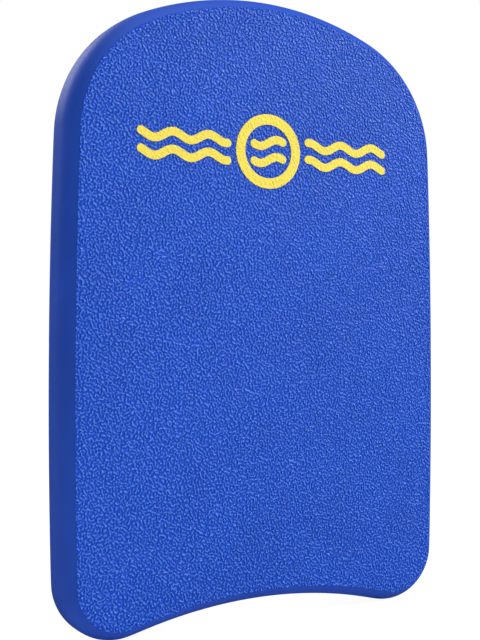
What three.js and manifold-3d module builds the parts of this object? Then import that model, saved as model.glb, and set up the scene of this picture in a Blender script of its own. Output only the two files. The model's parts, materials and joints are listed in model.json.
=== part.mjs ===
// A swimming kickboard: one moulding of closed-cell foam with a dense skin all round, standing on its tail.
// X runs across the board, Y through its thickness with the printed face towards -Y, and Z from tail to nose.
// The origin is on the ground between the two tail lobes. Sizes are in millimetres, angles in radians.

import * as THREE from "three";
import { mergeVertices } from "three/addons/utils/BufferGeometryUtils.js";
import Module from "manifold-3d";

const wasm = await Module();
wasm.setup();

// Driving dimensions: the whole board
const BOARD_LENGTH = 420;
const BOARD_WIDTH = 292;
const BOARD_THICKNESS = 38; // printed film included

// The side: flat along its middle and rounded towards both faces, which cut each rounding short at their rims
const SIDE_FLAT = 8.5;
const ROUNDING_RADIUS = 17.5;

// The rim of the flat faces, as arcs that run into each other
const NOSE_RADIUS = 218;
const SHOULDER_RADIUS = 82;
const SIDE_RADIUS = 4350;
const WIDEST_HEIGHT = 146;
const TAIL_CORNER_RADIUS = 30;
const SCOOP_DEPTH = 14.4;

// Skins, the clearance between a skin and what it is fitted round, and the printed film
const SKIN_THICKNESS = 1.5;
const SKIN_GAP = 0.3;
const PRINT_THICKNESS = 0.25;

// The print: a ring with two wave lines that run on to both sides of it
const PRINT_HEIGHT = 317;
const RING_RADIUS = 25;
const RING_STROKE = 7;
const WAVE_STROKE = 5.6;
const WAVE_SPACING = 11.5;
const WAVE_SWING = 2.4;
const WAVE_LENGTH = 26;
const WAVE_START = 31.5;
const WAVE_END = 94;
const INNER_WAVE_REACH = 12.6;
const ROW_NAMES = ["lower", "upper"];

// How finely curves are divided: the most that a chord may leave its arc, and steps on each rounding
const CHORD_ERROR = 0.08;
const PRINT_CHORD_ERROR = 0.04;
const ROUNDING_STEPS = 9; // on a full quarter circle, of which the faces leave about two thirds
const STEPS_PER_WAVE = 12;

const FOAM_THICKNESS = BOARD_THICKNESS - PRINT_THICKNESS;
const ROUNDING_DEPTH = (FOAM_THICKNESS - SIDE_FLAT) / 2;
const SIDE_SWELL = ROUNDING_RADIUS - Math.sqrt(ROUNDING_RADIUS ** 2 - ROUNDING_DEPTH ** 2);
const FACE_HALF_WIDTH = BOARD_WIDTH / 2 - SIDE_SWELL;
const FACE_BOTTOM = SIDE_SWELL;
const FACE_TOP = BOARD_LENGTH - SIDE_SWELL;

const blueSkin = new THREE.MeshStandardMaterial({ color: 0x2448b8, roughness: 0.55, metalness: 0 });
const blueEdge = new THREE.MeshStandardMaterial({ color: 0x2244a8, roughness: 0.42, metalness: 0 });
const foamBlue = new THREE.MeshStandardMaterial({ color: 0x3a5cc0, roughness: 0.9, metalness: 0 });
const yellowInk = new THREE.MeshStandardMaterial({ color: 0xf9e24f, roughness: 0.6, metalness: 0 });

// Points along an arc from one angle to another, close enough that no chord leaves the arc too far.
function arcPoints(centre, radius, startAngle, endAngle, chordError) {
  const widestStep = 2 * Math.acos(1 - chordError / radius);
  const steps = Math.ceil(Math.abs(endAngle - startAngle) / widestStep);
  const clockwise = endAngle < startAngle;
  const arc = new THREE.EllipseCurve(centre.x, centre.y, radius, radius, startAngle, endAngle, clockwise);
  return arc.getPoints(steps);
}

// The upper of the two points where a circle round one centre meets a circle round another.
function upperMeetingPoint(centreA, radiusA, centreB, radiusB) {
  const apart = centreA.distanceTo(centreB);
  const along = (apart ** 2 + radiusA ** 2 - radiusB ** 2) / (2 * apart);
  const aside = Math.sqrt(radiusA ** 2 - along ** 2);
  const direction = centreB.clone().sub(centreA).normalize();
  const sideways = new THREE.Vector2(-direction.y, direction.x);
  const onLine = centreA.clone().addScaledVector(direction, along);
  const meetings = [1, -1].map((sign) => onLine.clone().addScaledVector(sideways, sign * aside));
  return meetings[0].y > meetings[1].y ? meetings[0] : meetings[1];
}

function angleFrom(centre, point) {
  return Math.atan2(point.y - centre.y, point.x - centre.x);
}

// Half of the faces' rim, from the top of the nose clockwise to the middle of the tail scoop.
function halfRim() {
  const nose = new THREE.Vector2(0, FACE_TOP - NOSE_RADIUS);
  const side = new THREE.Vector2(FACE_HALF_WIDTH - SIDE_RADIUS, WIDEST_HEIGHT);
  const shoulder = upperMeetingPoint(
    side, SIDE_RADIUS - SHOULDER_RADIUS, nose, NOSE_RADIUS - SHOULDER_RADIUS);

  // The tail corner touches the side's arc from inside, and its lowest point is level with the face's bottom.
  const cornerHeight = FACE_BOTTOM + TAIL_CORNER_RADIUS;
  const reach = SIDE_RADIUS - TAIL_CORNER_RADIUS;
  const cornerAcross = side.x + Math.sqrt(reach ** 2 - (cornerHeight - side.y) ** 2);
  const corner = new THREE.Vector2(cornerAcross, cornerHeight);

  // The scoop's arc bends the other way and touches both corners from outside.
  const scoopRadius = (corner.x ** 2 + SCOOP_DEPTH ** 2) / (2 * SCOOP_DEPTH) - TAIL_CORNER_RADIUS;
  const scoop = new THREE.Vector2(0, FACE_BOTTOM + SCOOP_DEPTH - scoopRadius);

  const noseEnd = angleFrom(nose, shoulder);
  const shoulderEnd = angleFrom(side, shoulder);
  const sideEnd = angleFrom(side, corner);
  const cornerEnd = angleFrom(corner, scoop);
  const scoopStart = angleFrom(scoop, corner);
  return [
    ...arcPoints(nose, NOSE_RADIUS, Math.PI / 2, noseEnd, CHORD_ERROR),
    ...arcPoints(shoulder, SHOULDER_RADIUS, noseEnd, shoulderEnd, CHORD_ERROR).slice(1),
    ...arcPoints(side, SIDE_RADIUS, shoulderEnd, sideEnd, CHORD_ERROR).slice(1),
    ...arcPoints(corner, TAIL_CORNER_RADIUS, sideEnd, cornerEnd, CHORD_ERROR).slice(1),
    ...arcPoints(scoop, scoopRadius, scoopStart, Math.PI / 2, CHORD_ERROR).slice(1),
  ];
}

// The whole rim, as a flat shape whose second axis runs from tail to nose.
function faceRim() {
  const right = halfRim();
  const left = right.slice(1, -1).reverse().map((point) => new THREE.Vector2(-point.x, point.y));
  return new THREE.Shape([...right, ...left]);
}

// Extrudes a flat shape through the board's thickness, centred on Y = 0.
function throughBoard(shape, settings) {
  const solid = new THREE.ExtrudeGeometry(shape, settings);
  return solid.translate(0, 0, -settings.depth / 2).rotateX(Math.PI / 2);
}

// The solid board with its rounded side, or the same shape with its whole surface moved inward by inset.
function roundedBoard(inset) {
  const radius = ROUNDING_RADIUS - inset;
  const rounded = throughBoard(faceRim(), {
    depth: SIDE_FLAT,
    bevelThickness: radius,
    bevelSize: radius,
    bevelOffset: SIDE_SWELL - ROUNDING_RADIUS,
    bevelSegments: ROUNDING_STEPS,
  });
  const betweenFaces = flatSheet(faceRim(), FOAM_THICKNESS - 2 * inset, 2 * SIDE_SWELL);
  return toSolid(rounded).intersect(toSolid(betweenFaces));
}

// A flat sheet with square sides.
function flatSheet(shape, thickness, growth = 0) {
  return throughBoard(shape, {
    depth: thickness,
    bevelThickness: 0,
    bevelSize: 0,
    bevelOffset: growth,
    bevelSegments: 0,
    curveSegments: ringSteps(),
  });
}

// Divisions per arc that keep the print's ring within the allowed chord error.
function ringSteps() {
  const widestStep = 2 * Math.acos(1 - PRINT_CHORD_ERROR / RING_RADIUS);
  return Math.ceil(Math.PI / widestStep);
}

function toSolid(geometry) {
  const bare = geometry.clone();
  bare.deleteAttribute("normal");
  bare.deleteAttribute("uv");
  const merged = mergeVertices(bare);
  return new wasm.Manifold(new wasm.Mesh({
    numProp: 3,
    vertProperties: new Float32Array(merged.getAttribute("position").array),
    triVerts: new Uint32Array(merged.getIndex().array),
  }));
}

function toGeometry(solid) {
  const mesh = solid.getMesh();
  const geometry = new THREE.BufferGeometry();
  geometry.setAttribute("position", new THREE.BufferAttribute(mesh.vertProperties, 3));
  geometry.setIndex(new THREE.BufferAttribute(mesh.triVerts, 1));
  geometry.computeVertexNormals();
  return geometry;
}

// The smooth skin round the side: the whole board less the room for the core and the two face skins.
function edgeSkinGeometry() {
  const faceRoom = toSolid(flatSheet(faceRim(), 2 * BOARD_THICKNESS, SKIN_GAP));
  return toGeometry(roundedBoard(0).subtract(roundedBoard(SKIN_THICKNESS)).subtract(faceRoom));
}

function coreGeometry() {
  return toGeometry(roundedBoard(SKIN_THICKNESS + SKIN_GAP));
}

function ringShape() {
  const ring = new THREE.Shape().absarc(0, 0, RING_RADIUS, 0, 2 * Math.PI);
  ring.holes.push(new THREE.Path().absarc(0, 0, RING_RADIUS - RING_STROKE, 0, 2 * Math.PI, true));
  return ring;
}

// A wave line of even stroke with round ends. The wave starts from X = 0, so all stretches are in step.
function waveShape(start, end) {
  const turns = 2 * Math.PI / WAVE_LENGTH;
  const count = Math.ceil((end - start) / WAVE_LENGTH * STEPS_PER_WAVE);
  const half = WAVE_STROKE / 2;
  const upper = [];
  const lower = [];
  for (let step = 0; step <= count; step += 1) {
    const across = start + (end - start) * step / count;
    const middle = new THREE.Vector2(across, WAVE_SWING * Math.sin(across * turns));
    const slope = Math.atan(WAVE_SWING * turns * Math.cos(across * turns));
    const normal = new THREE.Vector2(-Math.sin(slope), Math.cos(slope));
    upper.push(middle.clone().addScaledVector(normal, half));
    lower.unshift(middle.clone().addScaledVector(normal, -half));
  }
  return new THREE.Shape([...upper, ...roundEnd(upper.at(-1), lower[0]), ...lower,
    ...roundEnd(lower.at(-1), upper[0])]);
}

// The points between two corners of a stroke's end, on a clockwise half circle.
function roundEnd(from, to) {
  const centre = from.clone().add(to).divideScalar(2);
  const start = angleFrom(centre, from);
  const points = arcPoints(centre, WAVE_STROKE / 2, start, start - Math.PI, PRINT_CHORD_ERROR);
  return points.slice(1, -1);
}

function piece(name, geometry, material, depth = 0) {
  const mesh = new THREE.Mesh(geometry, material);
  mesh.name = name;
  mesh.position.y = depth;
  return mesh;
}

// The moulding: core, face skins and edge skin, behind the printed film.
function moulding() {
  const skinDepth = (FOAM_THICKNESS - SKIN_THICKNESS) / 2;
  const group = new THREE.Group();
  group.add(
    piece("foam_core", coreGeometry(), foamBlue),
    piece("front_skin", flatSheet(faceRim(), SKIN_THICKNESS), blueSkin, -skinDepth),
    piece("back_skin", flatSheet(faceRim(), SKIN_THICKNESS), blueSkin, skinDepth),
    piece("edge_skin", edgeSkinGeometry(), blueEdge),
  );
  group.position.y = PRINT_THICKNESS / 2;
  return group;
}

// The print: each separate patch of film on the front face is a piece.
function print() {
  const group = new THREE.Group();
  group.add(piece("print_ring", flatSheet(ringShape(), PRINT_THICKNESS), yellowInk));
  ROW_NAMES.forEach((rowName, index) => {
    const height = (index - (ROW_NAMES.length - 1) / 2) * WAVE_SPACING;
    const innerEnd = Math.sqrt(INNER_WAVE_REACH ** 2 - height ** 2);
    const stretches = {
      left: waveShape(-WAVE_END, -WAVE_START),
      inner: waveShape(-innerEnd, innerEnd),
      right: waveShape(WAVE_START, WAVE_END),
    };
    for (const [place, shape] of Object.entries(stretches)) {
      const wave = piece(`print_wave_${place}_${rowName}`, flatSheet(shape, PRINT_THICKNESS), yellowInk);
      wave.position.z = height;
      group.add(wave);
    }
  });
  group.position.set(0, (PRINT_THICKNESS - BOARD_THICKNESS) / 2, PRINT_HEIGHT);
  return group;
}

const kickboard = new THREE.Group();
kickboard.add(moulding(), print());

export default kickboard;
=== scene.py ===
"""Swimming kickboard: one foam moulding with grained faces and smooth sides, and a one-colour print.

Every length is in metres, apart from the camera's lens and sensor, which are in millimetres. Every angle is
in degrees where nothing else is said.
"""

import json
import logging
import math
from collections.abc import Callable, Iterator, Mapping
from contextlib import contextmanager
from dataclasses import dataclass, field
from enum import Enum
from typing import Any

import bmesh
import bpy
import numpy as np
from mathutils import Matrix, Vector

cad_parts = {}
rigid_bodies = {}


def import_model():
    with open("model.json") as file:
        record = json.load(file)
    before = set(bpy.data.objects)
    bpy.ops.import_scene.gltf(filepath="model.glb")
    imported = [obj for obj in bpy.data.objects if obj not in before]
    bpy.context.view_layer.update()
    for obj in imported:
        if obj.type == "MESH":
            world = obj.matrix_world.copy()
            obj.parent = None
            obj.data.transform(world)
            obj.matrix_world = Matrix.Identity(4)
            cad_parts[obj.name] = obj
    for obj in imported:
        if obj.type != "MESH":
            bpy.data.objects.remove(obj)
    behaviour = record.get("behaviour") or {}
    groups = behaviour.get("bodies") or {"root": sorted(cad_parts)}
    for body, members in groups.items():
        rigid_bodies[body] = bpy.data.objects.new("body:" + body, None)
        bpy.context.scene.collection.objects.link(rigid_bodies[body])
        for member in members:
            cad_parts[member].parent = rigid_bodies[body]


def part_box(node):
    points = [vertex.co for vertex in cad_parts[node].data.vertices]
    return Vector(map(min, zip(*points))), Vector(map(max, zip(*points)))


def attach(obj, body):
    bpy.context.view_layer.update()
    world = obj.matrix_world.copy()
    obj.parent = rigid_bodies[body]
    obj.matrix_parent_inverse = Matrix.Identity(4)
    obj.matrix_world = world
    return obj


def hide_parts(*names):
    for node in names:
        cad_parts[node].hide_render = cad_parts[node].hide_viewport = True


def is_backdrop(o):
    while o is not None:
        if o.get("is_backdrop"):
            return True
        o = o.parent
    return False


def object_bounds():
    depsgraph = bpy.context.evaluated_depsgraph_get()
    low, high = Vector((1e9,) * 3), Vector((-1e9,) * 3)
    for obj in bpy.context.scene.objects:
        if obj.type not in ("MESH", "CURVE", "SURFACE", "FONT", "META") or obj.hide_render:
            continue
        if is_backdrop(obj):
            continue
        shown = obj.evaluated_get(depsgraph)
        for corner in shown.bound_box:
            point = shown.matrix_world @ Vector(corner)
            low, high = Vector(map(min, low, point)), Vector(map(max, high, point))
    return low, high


LOG = logging.getLogger("kickboard")

BODY = "root"
MERGE_DISTANCE = 1e-6
SLIVER = 2e-5
SAME_PLANE_ANGLE = 1e-4  # radians
SAME_PLANE_COSINE = 0.99
FACING_COSINE = 0.5
SHARP_CORNER = 60.0
SHEET_AXES = (0, 2)  # across and up
SOLIDIFY_INWARD = -1.0
MIX_COLOUR_INPUTS = (0, 6, 7)  # the Mix node's factor and its two colours
MIX_COLOUR_OUTPUT = 2
WHITE = (1.0, 1.0, 1.0, 1.0)
RIM_DISTANCE = "rim_distance"

Colour = tuple[float, float, float]
FaceTest = Callable[[bmesh.types.BMFace], bool]
EdgeTest = Callable[[bmesh.types.BMEdge], bool]


class Face(Enum):
    """The board's two faces, by the sign of the way that they look along its thickness."""

    FRONT = -1.0
    BACK = 1.0

    @property
    def node(self) -> str:
        """Names the CAD node of the face's skin."""
        return "front_skin" if self is Face.FRONT else "back_skin"

    @property
    def plane(self) -> float:
        """Gives the place of the face's outer plane along the thickness."""
        low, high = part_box(self.node)
        return low.y if self is Face.FRONT else high.y


# Modelling by hand: selection, edit mode and modifiers


def deselect() -> None:
    """Deselects every object."""
    for other in bpy.context.selected_objects:
        other.select_set(False)


def pick(piece: bpy.types.Object) -> None:
    """Deselects everything and then makes one piece the selected and active one.

    Args:
        piece: The piece that the next operators work on.
    """
    deselect()
    piece.select_set(True)
    bpy.context.view_layer.objects.active = piece


@contextmanager
def editing(piece: bpy.types.Object) -> Iterator[None]:
    """Puts one piece in edit mode for the length of a with block.

    Args:
        piece: The piece to edit.

    Yields:
        None: The block runs in edit mode.
    """
    pick(piece)
    bpy.ops.object.mode_set(mode="EDIT")
    yield
    bpy.ops.object.mode_set(mode="OBJECT")


def select_faces(piece: bpy.types.Object, wanted: FaceTest) -> None:
    """Selects, in edit mode, the faces that a test picks and no others.

    Args:
        piece: The piece in edit mode.
        wanted: The test of a face, by its place or normal.
    """
    bpy.context.tool_settings.mesh_select_mode = (False, False, True)
    bpy.ops.mesh.select_all(action="DESELECT")
    mesh = bmesh.from_edit_mesh(piece.data)
    for face in mesh.faces:
        face.select_set(wanted(face))
    bmesh.update_edit_mesh(piece.data)


def select_edges(piece: bpy.types.Object, wanted: EdgeTest) -> None:
    """Selects, in edit mode, the edges that a test picks and no others.

    Args:
        piece: The piece in edit mode.
        wanted: The test of an edge, by its place or faces.
    """
    bpy.context.tool_settings.mesh_select_mode = (False, True, False)
    bpy.ops.mesh.select_all(action="DESELECT")
    mesh = bmesh.from_edit_mesh(piece.data)
    for edge in mesh.edges:
        edge.select_set(wanted(edge))
    bmesh.update_edit_mesh(piece.data)


def add_object(name: str, data: bpy.types.ID) -> bpy.types.Object:
    """Adds an object to the scene, at the origin.

    Args:
        name: The object's name.
        data: Its mesh, light or camera.

    Returns:
        The object.
    """
    added = bpy.data.objects.new(name, data)
    bpy.context.scene.collection.objects.link(added)
    return added


def copy_node(node: str, name: str) -> bpy.types.Object:
    """Copies a CAD node's mesh into a new piece and merges its loose triangles.

    Args:
        node: The CAD node.
        name: The new piece's name.

    Returns:
        The new piece, at the origin.
    """
    mesh = bpy.data.objects[node].data.copy()
    mesh.materials.clear()
    piece = add_object(name, mesh)
    with editing(piece):
        bpy.ops.mesh.select_all(action="SELECT")
        bpy.ops.mesh.remove_doubles(threshold=MERGE_DISTANCE)
    return piece


def keep_sheet(piece: bpy.types.Object, way: float) -> None:
    """Keeps only the flat faces that look one way along the thickness, joined where they can be.

    Args:
        piece: A piece that holds a closed plate.
        way: The sign of the way that the kept faces look.
    """
    with editing(piece):
        select_faces(piece, lambda face: face.normal.y * way < SAME_PLANE_COSINE)
        bpy.ops.mesh.delete(type="FACE")
        bpy.ops.mesh.select_all(action="SELECT")
        bpy.ops.mesh.dissolve_limited(angle_limit=SAME_PLANE_ANGLE)


def slice_in_grid(piece: bpy.types.Object, spacing: float) -> None:
    """Cuts a sheet along a square grid of lines that is the same for every piece, and clears its slivers.

    Args:
        piece: The sheet, square to the thickness.
        spacing: The distance from line to line.
    """
    places = np.array([vertex.co for vertex in piece.data.vertices])
    low, high = places.min(0), places.max(0)
    with editing(piece):
        for axis in SHEET_AXES:
            normal = [0.0, 0.0, 0.0]
            normal[axis] = 1.0
            first = math.floor(low[axis] / spacing) + 1
            last = math.ceil(high[axis] / spacing) - 1
            for line in range(first, last + 1):
                place = [0.0, 0.0, 0.0]
                place[axis] = line * spacing
                bpy.ops.mesh.select_all(action="SELECT")
                bpy.ops.mesh.bisect(plane_co=place, plane_no=normal)
        bpy.ops.mesh.select_all(action="SELECT")
        bpy.ops.mesh.remove_doubles(threshold=SLIVER)


@contextmanager
def applied_modifier(piece: bpy.types.Object, kind: str) -> Iterator[bpy.types.Modifier]:
    """Adds a modifier, lets a with block set it up, and applies it.

    Args:
        piece: The piece to change.
        kind: The modifier's type.

    Yields:
        bpy.types.Modifier: The new modifier.
    """
    pick(piece)
    bpy.ops.object.modifier_add(type=kind)
    modifier = piece.modifiers[-1]
    yield modifier
    bpy.ops.object.modifier_apply(modifier=modifier.name)


def split_faces(piece: bpy.types.Object, levels: int, smooth: bool) -> None:
    """Splits every face in four with an applied Subdivision Surface modifier.

    Args:
        piece: The piece to refine.
        levels: How many times each face is split.
        smooth: Whether the surface is smoothed as it is split.
    """
    with applied_modifier(piece, "SUBSURF") as split:
        split.subdivision_type = "CATMULL_CLARK" if smooth else "SIMPLE"
        split.levels = levels
        split.render_levels = levels


def press_relief(piece: bpy.types.Object, group: bpy.types.NodeTree) -> None:
    """Runs a geometry node group over a piece and applies it.

    Args:
        piece: The piece to press.
        group: The node group that moves its surface.
    """
    with applied_modifier(piece, "NODES") as press:
        press.node_group = group


def close_behind(piece: bpy.types.Object, depth: float) -> None:
    """Gives an open sheet a wall round its border and a back, so that it is a closed plate.

    Args:
        piece: The sheet.
        depth: How far the wall goes along the thickness, with its sign.
    """
    with editing(piece):
        select_edges(piece, lambda edge: edge.is_boundary)
        bpy.ops.mesh.extrude_region_move(TRANSFORM_OT_translate={"value": (0.0, depth, 0.0)})
        mesh = bmesh.from_edit_mesh(piece.data)
        back = max if depth > 0 else min
        level = back(vertex.co.y for vertex in mesh.verts)
        for vertex in mesh.verts:
            if vertex.select:
                vertex.co.y = level
        bmesh.update_edit_mesh(piece.data)
        bpy.ops.mesh.edge_face_add()
        bpy.ops.mesh.select_all(action="SELECT")
        bpy.ops.mesh.normals_make_consistent(inside=False)


def smooth_shading(piece: bpy.types.Object, corner: float) -> None:
    """Shades a piece smooth, except along its corners.

    Args:
        piece: The piece.
        corner: The least angle of a corner, in degrees.
    """
    pick(piece)
    bpy.ops.object.shade_smooth_by_angle(angle=math.radians(corner))


def write_point_values(piece: bpy.types.Object, name: str, values: np.ndarray) -> None:
    """Stores one number for each vertex of a piece.

    Args:
        piece: The piece.
        name: The attribute's name.
        values: The numbers, in the order of the vertices.
    """
    attribute = piece.data.attributes.new(name, "FLOAT", "POINT")
    attribute.data.foreach_set("value", values.astype(np.float32))


def dress(piece: bpy.types.Object, finish: bpy.types.Material) -> None:
    """Gives a piece one material all over."""
    piece.data.materials.clear()
    piece.data.materials.append(finish)


# Node trees


class Net:
    """A node tree that is written one node at a time."""

    def __init__(self, tree: bpy.types.NodeTree) -> None:
        """Empties the tree and keeps it.

        Args:
            tree: The node tree of a material, world or modifier.
        """
        self.tree = tree
        tree.nodes.clear()

    def add(
        self, kind: str, inputs: Mapping[int | str, Any] | None = None, **settings: Any
    ) -> bpy.types.Node:
        """Adds a node.

        Args:
            kind: The node's type.
            inputs: Numbers or sockets for its inputs, by name or place.
            **settings: The node's own settings.

        Returns:
            The node.
        """
        node = self.tree.nodes.new(kind)
        for name, value in settings.items():
            setattr(node, name, value)
        for key, value in (inputs or {}).items():
            if isinstance(value, bpy.types.NodeSocket):
                self.tree.links.new(value, node.inputs[key])
            else:
                node.inputs[key].default_value = value
        return node

    def math(self, operation: str, first: Any, second: Any = 0.0) -> bpy.types.NodeSocket:
        """Adds a Math node and gives its result."""
        return self.add("ShaderNodeMath", {0: first, 1: second}, operation=operation).outputs[0]

    def ramp(
        self, value: Any, source: tuple[float, float], target: tuple[float, float] = (0.0, 1.0)
    ) -> bpy.types.NodeSocket:
        """Maps a value smoothly from one range to another and holds it at both ends.

        Args:
            value: The number or socket.
            source: The range that it is read over.
            target: The range that it is mapped to.

        Returns:
            The mapped value.
        """
        inputs = {"Value": value, "From Min": source[0], "From Max": source[1]}
        inputs |= {"To Min": target[0], "To Max": target[1]}
        return self.add("ShaderNodeMapRange", inputs, interpolation_type="SMOOTHSTEP").outputs["Result"]

    def noise(self, place: Any, size: float, detail: float) -> bpy.types.NodeSocket:
        """Adds a Noise Texture and gives its value.

        Args:
            place: Where it is read.
            size: The size of its cells, in metres.
            detail: How many finer layers it has.

        Returns:
            The value, from 0 to 1.
        """
        inputs = {"Vector": place, "Scale": 1.0 / size, "Detail": detail}
        return self.add("ShaderNodeTexNoise", inputs).outputs["Fac"]

    def bump(
        self, height: Any, depth: float, under: bpy.types.NodeSocket | None = None
    ) -> bpy.types.NodeSocket:
        """Adds a Bump node at full strength.

        Args:
            height: The height, from 0 to 1.
            depth: How far apart 0 and 1 are, in metres.
            under: The normal of a coarser bump that it lies on.

        Returns:
            The bumped normal.
        """
        inputs = {"Height": height, "Distance": depth, "Strength": 1.0}
        if under is not None:
            inputs["Normal"] = under
        return self.add("ShaderNodeBump", inputs).outputs["Normal"]

    def principled(
        self, colour: Any, roughness: Any, specular: float, normal: bpy.types.NodeSocket | None = None
    ) -> bpy.types.Node:
        """Adds a Principled shader.

        Args:
            colour: Its base colour.
            roughness: Its roughness.
            specular: Its specular level, the same all over.
            normal: Its bumped normal, where it has one.

        Returns:
            The shader.
        """
        inputs = {"Base Color": colour, "Roughness": roughness, "Specular IOR Level": specular}
        if normal is not None:
            inputs["Normal"] = normal
        return self.add("ShaderNodeBsdfPrincipled", inputs)

    def mix(self, factor: Any, first: Colour, second: Colour) -> bpy.types.NodeSocket:
        """Mixes two colours.

        Args:
            factor: How much of the second colour there is.
            first: The colour at 0.
            second: The colour at 1.

        Returns:
            The mixed colour.
        """
        values = (factor, (*first, 1.0), (*second, 1.0))
        inputs = dict(zip(MIX_COLOUR_INPUTS, values))
        return self.add("ShaderNodeMix", inputs, data_type="RGBA").outputs[MIX_COLOUR_OUTPUT]

    def tint(self, colour: bpy.types.NodeSocket, value: Any) -> bpy.types.NodeSocket:
        """Makes a colour lighter or darker.

        Args:
            colour: The colour.
            value: The factor of its brightness.

        Returns:
            The changed colour.
        """
        return self.add("ShaderNodeHueSaturation", {"Value": value, "Color": colour}).outputs["Color"]


@dataclass(frozen=True)
class PebbleGrain:
    """The fine pebbled relief of short bent grains that the mould presses into both faces."""

    pitch: float = 0.0024
    pitches_per_cell: float = 1.15
    height: float = 0.00062
    mean_level: float = 0.35
    valley_level: float = 0.42
    crown_level: float = 0.76
    fade: tuple[float, float] = (0.0002, 0.0018)
    lip_width: float = 0.0009
    lip_drop: float = 0.00022
    shifts: Mapping[Face, float] = field(default_factory=lambda: {Face.FRONT: 0.37, Face.BACK: 2.19})

    def wire(self, net: Net, place: Any, face: Face) -> bpy.types.NodeSocket:
        """Adds the nodes that give the pebbles' height.

        Args:
            net: The tree of a material or of a modifier.
            place: The place on the piece.
            face: The face, because each has pebbles of its own.

        Returns:
            The height, from 0 in the valleys to 1 on the highest crowns.
        """
        parts = net.add("ShaderNodeSeparateXYZ", {0: place}).outputs
        across = net.math("ADD", parts["X"], self.shifts[face])
        flat = net.add("ShaderNodeCombineXYZ", {"X": across, "Y": parts["Z"]}).outputs[0]
        inputs = {"Vector": flat, "Scale": 1.0 / (self.pitch * self.pitches_per_cell)}
        inputs |= {"Frequency": self.pitches_per_cell, "Anisotropy": 0.0}
        grains = net.add("ShaderNodeTexGabor", inputs, gabor_type="2D").outputs["Value"]
        return net.ramp(grains, (self.valley_level, self.crown_level))

    def above_plane(self, net: Net, level: bpy.types.NodeSocket) -> bpy.types.NodeSocket:
        """Measures a height from the grain's mean, which lies in the face's plane."""
        return net.math("SUBTRACT", level, self.mean_level)

    def relief(self, face: Face) -> bpy.types.NodeTree:
        """Makes the node group that presses the grain into a face and rounds its lip.

        Args:
            face: The face.

        Returns:
            The geometry node group.
        """
        net, geometry = start_relief(f"{face.node}_relief")
        rim = net.add("GeometryNodeInputNamedAttribute", {"Name": RIM_DISTANCE}, data_type="FLOAT")
        distance = rim.outputs["Attribute"]
        place = net.add("GeometryNodeInputPosition").outputs[0]
        amount = net.ramp(distance, self.fade, (0.0, self.height))
        grain = net.math("MULTIPLY", self.above_plane(net, self.wire(net, place, face)), amount)
        lip = net.ramp(distance, (0.0, self.lip_width), (-self.lip_drop, 0.0))
        outward = net.math("MULTIPLY", net.math("ADD", grain, lip), face.value)
        finish_relief(net, geometry, net.add("ShaderNodeCombineXYZ", {"Y": outward}).outputs[0])
        return net.tree


def start_relief(name: str) -> tuple[Net, bpy.types.NodeSocket]:
    """Starts a geometry node group with one geometry in and one out.

    Args:
        name: The group's name.

    Returns:
        The net and the socket of the geometry that comes in.
    """
    tree = bpy.data.node_groups.new(name, "GeometryNodeTree")
    tree.interface.new_socket("Geometry", in_out="INPUT", socket_type="NodeSocketGeometry")
    tree.interface.new_socket("Geometry", in_out="OUTPUT", socket_type="NodeSocketGeometry")
    net = Net(tree)
    return net, net.add("NodeGroupInput").outputs[0]


def finish_relief(net: Net, geometry: bpy.types.NodeSocket, offset: bpy.types.NodeSocket) -> None:
    """Ends a geometry node group by moving every point.

    Args:
        net: The group's net.
        geometry: The geometry that came in.
        offset: How far each point moves.
    """
    moved = net.add("GeometryNodeSetPosition", {"Geometry": geometry, "Offset": offset})
    net.add("NodeGroupOutput", {0: moved.outputs[0]})


# Finishes


def start_material(name: str) -> tuple[Net, bpy.types.NodeSocket]:
    """Starts a material that reads the place on its piece.

    Args:
        name: The material's name.

    Returns:
        The net and the socket of the place on the piece.
    """
    material = bpy.data.materials.new(name)
    material.use_nodes = True
    net = Net(material.node_tree)
    return net, net.add("ShaderNodeTexCoord").outputs["Object"]


def finish_material(name: str, net: Net, shader: bpy.types.Node) -> bpy.types.Material:
    """Joins a shader to a material's output.

    Args:
        name: The material's name.
        net: The material's net.
        shader: The shader.

    Returns:
        The material.
    """
    net.add("ShaderNodeOutputMaterial", {"Surface": shader.outputs[0]})
    return bpy.data.materials[name]


@dataclass(frozen=True)
class PebbledFoam:
    """The grained skin of a face: glossier on the pebbles' crowns, with a painted highlight that makes the
    crowns lighter and painted shade that makes the valleys deeper.
    """

    face: Face
    grain: PebbleGrain
    # These two colours are painted light: a painted highlight on the pebbles' crowns and painted shade in
    # their valleys.
    crown: Colour = (0.052, 0.180, 0.618)
    valley: Colour = (0.002, 0.040, 0.395)
    cloud: float = 0.045
    cloud_range: tuple[float, float] = (0.2, 0.8)
    cloud_brightness: tuple[float, float] = (0.95, 1.05)
    edge_depth: float = 0.00068
    pore: float = 0.00045
    pore_depth: float = 0.00002
    roughness_range: tuple[float, float] = (0.4, 1.6)
    roughness: tuple[float, float] = (0.38, 0.29)
    specular: float = 0.22

    def make(self) -> bpy.types.Material:
        """Makes the material."""
        name = f"pebbled_{self.face.node}"
        net, place = start_material(name)
        height = self.grain.wire(net, place, self.face)
        cloud = net.noise(place, self.cloud, detail=2.0)
        brightness = net.ramp(cloud, self.cloud_range, self.cloud_brightness)
        # Mixing by the pebbles' height paints a highlight on the crowns and shade in the valleys.
        colour = net.tint(net.mix(height, self.valley, self.crown), brightness)
        pores = net.noise(place, self.pore, detail=1.0)
        normal = net.bump(pores, self.pore_depth, under=net.bump(height, self.edge_depth))
        roughness = net.ramp(net.math("ADD", height, pores), self.roughness_range, self.roughness)
        return finish_material(name, net, net.principled(colour, roughness, self.specular, normal))


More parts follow.
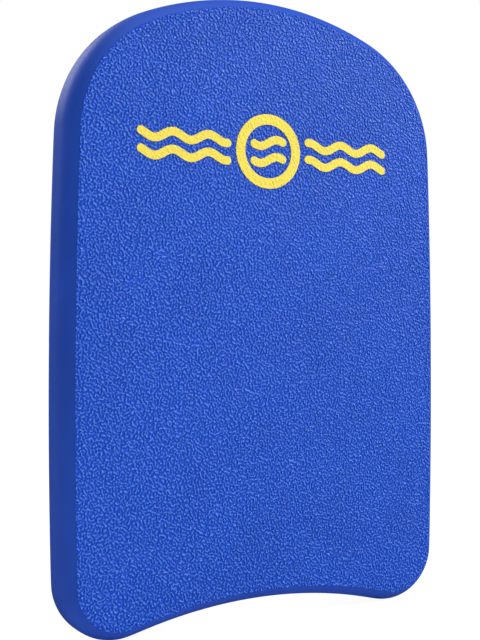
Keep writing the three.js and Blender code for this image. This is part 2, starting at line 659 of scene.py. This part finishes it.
@dataclass(frozen=True)
class SmoothFoam:
    """The satin skin of the sides, which the polished part of the mould leaves."""

    deep: Colour = (0.013, 0.055, 0.360)
    light: Colour = (0.015, 0.063, 0.400)
    cloud: float = 0.030
    cloud_range: tuple[float, float] = (0.25, 0.75)
    ripple: float = 0.0035
    ripple_depth: float = 0.00002
    pore: float = 0.0006
    pore_depth: float = 0.000008
    roughness_range: tuple[float, float] = (0.2, 0.8)
    roughness: tuple[float, float] = (0.50, 0.60)
    specular: float = 0.09

    def make(self) -> bpy.types.Material:
        """Makes the material."""
        name = "smooth_side_foam"
        net, place = start_material(name)
        cloud = net.noise(place, self.cloud, detail=2.0)
        colour = net.mix(net.ramp(cloud, self.cloud_range), self.deep, self.light)
        ripple = net.noise(place, self.ripple, detail=1.0)
        pores = net.noise(place, self.pore, detail=1.0)
        normal = net.bump(pores, self.pore_depth, under=net.bump(ripple, self.ripple_depth))
        roughness = net.ramp(pores, self.roughness_range, self.roughness)
        return finish_material(name, net, net.principled(colour, roughness, self.specular, normal))


@dataclass(frozen=True)
class PrintedInk:
    """The matt yellow ink, which is a little thinner on the pebbles' crowns."""

    grain: PebbleGrain
    full: Colour = (0.665, 0.535, 0.066)
    thin: Colour = (0.615, 0.485, 0.058)
    crown_range: tuple[float, float] = (0.2, 1.0)
    patch: float = 0.004
    patch_depth: float = 0.00002
    patch_range: tuple[float, float] = (0.35, 0.75)
    roughness_range: tuple[float, float] = (0.2, 0.8)
    roughness: tuple[float, float] = (0.48, 0.60)
    specular: float = 0.2

    def make(self) -> bpy.types.Material:
        """Makes the material."""
        name = "printed_ink"
        net, place = start_material(name)
        crowns = net.ramp(self.grain.wire(net, place, Face.FRONT), self.crown_range)
        patches = net.noise(place, self.patch, detail=2.0)
        worn = net.math("MULTIPLY", crowns, net.ramp(patches, self.patch_range))
        colour = net.mix(worn, self.full, self.thin)
        roughness = net.ramp(patches, self.roughness_range, self.roughness)
        normal = net.bump(patches, self.patch_depth)
        return finish_material(name, net, net.principled(colour, roughness, self.specular, normal))


@dataclass(frozen=True)
class ClosedCellFoam:
    """The foam behind the skin, with its closed cells."""

    wall: Colour = (0.030, 0.130, 0.600)
    cell_colour: Colour = (0.014, 0.066, 0.430)
    cell: float = 0.0009
    cell_depth: float = 0.00012
    wall_range: tuple[float, float] = (0.25, 0.7)
    roughness: float = 0.7
    specular: float = 0.3

    def make(self) -> bpy.types.Material:
        """Makes the material."""
        name = "closed_cell_foam"
        net, place = start_material(name)
        inputs = {"Vector": place, "Scale": 1.0 / self.cell}
        cells = net.add("ShaderNodeTexVoronoi", inputs).outputs["Distance"]
        walls = net.ramp(cells, self.wall_range)
        colour = net.mix(walls, self.cell_colour, self.wall)
        normal = net.bump(walls, self.cell_depth)
        return finish_material(name, net, net.principled(colour, self.roughness, self.specular, normal))


@dataclass(frozen=True)
class PaleFloor:
    """The matt pale floor, whose glow only the camera sees, so that it lights the board as its grey does."""

    grey: float = 0.88
    cloud: float = 0.8
    cloud_tint: float = 0.02
    roughness: float = 0.9
    specular: float = 0.1
    glow: float = 1.08
    glow_share: float = 0.88
    glow_reach: tuple[float, float] = (0.5, 3.0)

    def make(self) -> bpy.types.Material:
        """Makes the material."""
        name = "pale_floor"
        net, place = start_material(name)
        cloud = net.noise(place, self.cloud, detail=1.0)
        colour = net.mix(cloud, (self.grey,) * 3, (self.grey + self.cloud_tint,) * 3)
        lit = net.principled(colour, self.roughness, self.specular)
        glow = net.add("ShaderNodeEmission", {"Strength": self.glow})
        away = net.add("ShaderNodeVectorMath", {0: place}, operation="LENGTH").outputs["Value"]
        seen = net.add("ShaderNodeLightPath").outputs["Is Camera Ray"]
        share = net.math("MULTIPLY", seen, net.ramp(away, self.glow_reach, (self.glow_share, 1.0)))
        mixed = net.add("ShaderNodeMixShader", {0: share, 1: lit.outputs[0], 2: glow.outputs[0]})
        return finish_material(name, net, mixed)


# Sub-assemblies


@dataclass
class Moulding:
    """The board itself: its foam, the grained skin of each face and the smooth skin of the sides."""

    grain: PebbleGrain
    grid: float = 0.0024
    grid_splits: int = 2
    lip_rings: tuple[float, ...] = (0.0008,)
    face_depth: float = 0.0013
    side_flat: float = 0.0085
    rounding_steps: int = 6
    rim_drop: float = 0.0002
    rebate_depth: float = 0.0016
    rebate_width: float = 0.0003
    flange: float = 0.004
    side_splits: int = 2
    core_flatness: float = 0.5
    core_rounding: float = 0.0006
    core_rounding_steps: int = 3
    core_rounded_corner: float = 30.0
    core_shaded_corner: float = 40.0

    def build(self) -> None:
        """Builds and dresses every piece of the moulding."""
        blank = self.face_blank()
        for face in Face:
            self.face_skin(blank, face)
        bpy.data.objects.remove(blank)
        self.side_skin()
        self.core()

    def face_blank(self) -> bpy.types.Object:
        """Cuts the flat sheet that both faces start from, with the distance to its rim on each point.

        Returns:
            The sheet, in the front face's plane.
        """
        sheet = copy_node(Face.FRONT.node, "face_blank")
        keep_sheet(sheet, Face.FRONT.value)
        rim = np.array([sheet.data.vertices[i].co for i in sheet.data.polygons[0].vertices])
        with editing(sheet):
            bpy.ops.mesh.select_all(action="SELECT")
            for width in self.lip_rings:
                bpy.ops.mesh.inset(thickness=width)
        slice_in_grid(sheet, self.grid)
        split_faces(sheet, levels=self.grid_splits, smooth=False)
        write_point_values(sheet, RIM_DISTANCE, self.distance_to_rim(sheet, rim))
        return sheet

    @staticmethod
    def distance_to_rim(sheet: bpy.types.Object, rim: np.ndarray) -> np.ndarray:
        """Measures how far each point of a sheet is from the sheet's outline.

        Args:
            sheet: The sheet.
            rim: The corners of its outline, in order.

        Returns:
            One distance for each point.
        """
        places = np.zeros(len(sheet.data.vertices) * 3, np.float32)
        sheet.data.vertices.foreach_get("co", places)
        places = places.reshape(-1, 3)
        nearest = np.full(len(places), np.inf, np.float32)
        for start, end in zip(rim, np.roll(rim, -1, axis=0)):
            along = end - start
            part = np.clip((places - start) @ along / (along @ along), 0.0, 1.0)
            gap = np.linalg.norm(places - start - part[:, None] * along, axis=1)
            nearest = np.minimum(nearest, gap)
        return nearest

    def face_skin(self, blank: bpy.types.Object, face: Face) -> None:
        """Makes the grained skin of one face.

        Args:
            blank: The sheet in the front face's plane.
            face: The face to make.
        """
        skin = add_object(f"{face.node}_grained", blank.data.copy())
        with editing(skin):
            bpy.ops.mesh.select_all(action="SELECT")
            bpy.ops.transform.translate(value=(0.0, face.plane - Face.FRONT.plane, 0.0))
            if face is Face.BACK:
                bpy.ops.mesh.flip_normals()
        press_relief(skin, self.grain.relief(face))
        close_behind(skin, -face.value * self.face_depth)
        smooth_shading(skin, SHARP_CORNER)
        dress(skin, PebbledFoam(face, self.grain).make())
        place_piece(skin, face.node)

    def side_skin(self) -> None:
        """Makes the smooth skin round the sides: a flat band that rounds over to the rim of each face."""
        face_low, face_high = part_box(Face.FRONT.node)
        side_low, side_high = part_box("edge_skin")
        swell = (side_high.x - side_low.x - face_high.x + face_low.x) / 2
        depth = (Face.BACK.plane - Face.FRONT.plane - self.side_flat) / 2
        radius = (swell**2 + depth**2) / (2 * swell)
        skin = copy_node(Face.FRONT.node, "side_skin_smooth")
        with editing(skin):
            self.flat_band(skin, (face_low.y, face_high.y), swell)
            self.round_over(radius, math.asin(depth / radius))
            self.open_at_faces(skin)
        split_faces(skin, levels=self.side_splits, smooth=True)
        smooth_shading(skin, SHARP_CORNER)
        dress(skin, SmoothFoam().make())
        place_piece(skin, "edge_skin")

    def flat_band(self, skin: bpy.types.Object, plate: tuple[float, float], swell: float) -> None:
        """Turns a face's plate into a closed block as deep as the sides' flat, and selects its two ends.

        Args:
            skin: A copy of the plate, in edit mode.
            plate: Where the plate starts and ends along the thickness.
            swell: How far the sides stand out from the rims of the faces.
        """
        select_faces(skin, lambda face: abs(face.normal.y) > FACING_COSINE)
        bpy.ops.mesh.delete(type="FACE")
        bpy.ops.mesh.select_all(action="SELECT")
        middle = (Face.FRONT.plane + Face.BACK.plane) / 2
        stretch = self.side_flat / (plate[1] - plate[0])
        centre = (0.0, (plate[0] + plate[1]) / 2, 0.0)
        bpy.ops.transform.resize(value=(1.0, stretch, 1.0), center_override=centre)
        bpy.ops.transform.translate(value=(0.0, middle - centre[1], 0.0))
        bpy.ops.transform.shrink_fatten(value=swell, use_even_offset=True)
        for way in (-1.0, 1.0):
            select_edges(
                skin,
                lambda edge, way=way: edge.is_boundary
                and all((vertex.co.y - middle) * way > 0 for vertex in edge.verts),
            )
            bpy.ops.mesh.edge_face_add()
        bpy.ops.mesh.select_all(action="SELECT")
        bpy.ops.mesh.normals_make_consistent(inside=False)
        select_faces(skin, lambda face: abs(face.normal.y) > FACING_COSINE)

    def round_over(self, radius: float, sweep: float) -> None:
        """Carries both selected ends inward and outward along an arc, up to the rims of the faces.

        Args:
            radius: The arc's radius.
            sweep: The angle that it turns through, in radians.
        """
        angles = [sweep * step / self.rounding_steps for step in range(self.rounding_steps + 1)]
        rim_support = self.rim_drop / radius
        angles.insert(-1, sweep - 2 * rim_support)
        for start, end in zip(angles, angles[1:]):
            inward = radius * (math.cos(start) - math.cos(end))
            outward = radius * (math.sin(end) - math.sin(start))
            drop = self.rim_drop if end == angles[-2] else 0.0
            bpy.ops.mesh.inset(thickness=inward, depth=outward - drop)

    def open_at_faces(self, skin: bpy.types.Object) -> None:
        """Sinks a rebate for each face's skin into the selected ends and joins them by a wall inside.

        Args:
            skin: The rounded block, in edit mode.
        """
        bpy.ops.mesh.inset(thickness=self.rebate_width, depth=-self.rebate_depth)
        bpy.ops.mesh.inset(thickness=self.flange, depth=0.0)
        bpy.ops.mesh.delete(type="ONLY_FACE")
        select_edges(skin, lambda edge: edge.is_boundary)
        bpy.ops.mesh.bridge_edge_loops()
        bpy.ops.mesh.select_all(action="SELECT")
        bpy.ops.mesh.normals_make_consistent(inside=False)

    def core(self) -> None:
        """Makes the foam that fills the skins."""
        foam = copy_node("foam_core", "foam_filling")
        with editing(foam):
            bpy.ops.mesh.select_all(action="SELECT")
            bpy.ops.mesh.dissolve_limited(angle_limit=math.radians(self.core_flatness))
        with applied_modifier(foam, "BEVEL") as bevel:
            bevel.width = self.core_rounding
            bevel.segments = self.core_rounding_steps
            bevel.angle_limit = math.radians(self.core_rounded_corner)
        smooth_shading(foam, self.core_shaded_corner)
        dress(foam, ClosedCellFoam().make())
        place_piece(foam, "foam_core")


@dataclass
class Print:
    """The one-colour print on the front: a ring with two rows of waves that run on to both sides."""

    grain: PebbleGrain
    grid: float
    grid_splits: int
    proud: float = 0.00010
    film_depth: float = 0.00045
    valley_fill: float = 0.5

    def build(self) -> None:
        """Builds and dresses every patch of ink."""
        ink = PrintedInk(self.grain).make()
        group = self.drape()
        for node in sorted(name for name in bpy.data.objects.keys() if name.startswith("print_")):
            self.patch(node, group, ink)

    def drape(self) -> bpy.types.NodeTree:
        """Makes the node group that lays the ink over the grain, whose valleys it partly fills.

        Returns:
            The geometry node group.
        """
        net, geometry = start_relief("ink_drape")
        place = net.add("GeometryNodeInputPosition").outputs[0]
        level = net.ramp(self.grain.wire(net, place, Face.FRONT), (0.0, 1.0), (self.valley_fill, 1.0))
        outward = self.grain.height * Face.FRONT.value
        height = net.math("MULTIPLY", self.grain.above_plane(net, level), outward)
        finish_relief(net, geometry, net.add("ShaderNodeCombineXYZ", {"Y": height}).outputs[0])
        return net.tree

    def patch(self, node: str, group: bpy.types.NodeTree, ink: bpy.types.Material) -> None:
        """Makes one patch of ink.

        Args:
            node: The CAD node that it stands for.
            group: The node group that drapes it.
            ink: Its material.
        """
        film = copy_node(node, node.replace("print", "ink"))
        keep_sheet(film, Face.FRONT.value)
        low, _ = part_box(node)
        with editing(film):
            bpy.ops.mesh.select_all(action="SELECT")
            bpy.ops.transform.translate(value=(0.0, Face.FRONT.plane - self.proud - low.y, 0.0))
        slice_in_grid(film, self.grid)
        split_faces(film, levels=self.grid_splits, smooth=False)
        with applied_modifier(film, "SOLIDIFY") as wall:
            wall.thickness = self.film_depth
            wall.offset = SOLIDIFY_INWARD
        press_relief(film, group)
        smooth_shading(film, SHARP_CORNER)
        dress(film, ink)
        place_piece(film, node)


def place_piece(piece: bpy.types.Object, node: str) -> None:
    """Ties a finished piece to the frame.

    Args:
        piece: The piece.
        node: The CAD node that it stands for.
    """
    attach(piece, BODY)
    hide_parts(node)
    LOG.info("%s: %d faces, in place of %s", piece.name, len(piece.data.polygons), node)


# Studio


@dataclass(frozen=True)
class SoftLight:
    """One large soft box that looks at the middle of the board."""

    name: str
    azimuth: float
    elevation: float
    distance: float
    size: float
    power: float

    def hang(self, centre: Vector) -> None:
        """Adds the light.

        Args:
            centre: The point that it looks at.
        """
        lamp = bpy.data.lights.new(self.name, "AREA")
        lamp.shape = "SQUARE"
        lamp.size = self.size
        lamp.energy = self.power
        away = direction(self.azimuth, self.elevation)
        stand_facing(add_object(self.name, lamp), centre, away, self.distance)


@dataclass
class Studio:
    """The pale floor, the soft lights and the camera."""

    floor_size: float = 14.0
    ambient: float = 0.24
    glossy_ambient: float = 0.05
    azimuth: float = -29.55
    elevation: float = 0.357
    distance: float = 0.7803
    lens: float = 64.34
    sensor: float = 36.0
    nearest: float = 0.01
    aim: tuple[float, float, float] = (-0.01136, 0.0, -0.0063)
    lights: tuple[SoftLight, ...] = (
        SoftLight("overhead_box", azimuth=-12.0, elevation=80.0, distance=2.6, size=2.0, power=52.0),
        SoftLight("right_box", azimuth=54.0, elevation=28.0, distance=3.8, size=0.88, power=160.0),
        SoftLight("back_box", azimuth=200.0, elevation=35.0, distance=2.6, size=1.4, power=40.0),
    )

    def build(self, low: Vector, high: Vector) -> None:
        """Sets up everything round the board.

        Args:
            low: The lowest corner of the board's box.
            high: Its highest corner.
        """
        centre = (low + high) / 2
        self.floor(low.z)
        self.surroundings()
        for light in self.lights:
            light.hang(centre)
        self.camera(centre + Vector(self.aim))
        bpy.context.scene.view_settings.view_transform = "Standard"
        LOG.info("studio: %d lights", len(self.lights))

    def floor(self, level: float) -> None:
        """Lays the floor.

        Args:
            level: Its height.
        """
        deselect()
        bpy.ops.mesh.primitive_plane_add(size=self.floor_size, location=(0.0, 0.0, level))
        floor = bpy.context.active_object
        floor.name = "studio_floor"
        dress(floor, PaleFloor().make())
        floor.visible_glossy = False
        floor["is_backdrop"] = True

    def surroundings(self) -> None:
        """Makes a white backdrop that gives the board only a dim even light."""
        world = bpy.data.worlds.new("studio_air")
        world.use_nodes = True
        bpy.context.scene.world = world
        net = Net(world.node_tree)
        rays = net.add("ShaderNodeLightPath").outputs
        unseen = net.ramp(rays["Is Glossy Ray"], (0.0, 1.0), (self.ambient, self.glossy_ambient))
        strength = net.math("MAXIMUM", rays["Is Camera Ray"], unseen)
        air = net.add("ShaderNodeBackground", {"Color": WHITE, "Strength": strength})
        net.add("ShaderNodeOutputWorld", {"Surface": air.outputs[0]})

    def camera(self, target: Vector) -> None:
        """Sets up the camera.

        Args:
            target: The point in the middle of its view.
        """
        data = bpy.data.cameras.new("studio_camera")
        data.lens = self.lens
        data.sensor_width = self.sensor
        data.clip_start = self.nearest
        holder = add_object("studio_camera", data)
        stand_facing(holder, target, direction(self.azimuth, self.elevation), self.distance)
        bpy.context.scene.camera = holder


def direction(azimuth: float, elevation: float) -> Vector:
    """Gives the way from the board to a light or the camera.

    Args:
        azimuth: The angle round the board in degrees, 0 in front of it and 90 to its right.
        elevation: The angle above the level, in degrees.

    Returns:
        A vector of length 1.
    """
    turn, rise = math.radians(azimuth), math.radians(elevation)
    level = math.cos(rise)
    return Vector((math.sin(turn) * level, -math.cos(turn) * level, math.sin(rise)))


def stand_facing(holder: bpy.types.Object, target: Vector, away: Vector, distance: float) -> None:
    """Places a light or the camera so that it looks straight at a point.

    Args:
        holder: The light's or the camera's object.
        target: The point.
        away: The way from the point to the object, of length 1.
        distance: How far away it is.
    """
    holder.location = target + away * distance
    holder.rotation_euler = (-away).to_track_quat("-Z", "Y").to_euler()


def main() -> None:
    """Builds the board in its studio."""
    logging.basicConfig(level=logging.INFO, format="%(name)s: %(message)s")
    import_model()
    cad_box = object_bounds()
    grain = PebbleGrain()
    moulding = Moulding(grain)
    moulding.build()
    Print(grain, moulding.grid, moulding.grid_splits).build()
    Studio().build(*cad_box)
    bpy.context.view_layer.update()


if __name__ == "__main__":
    main()
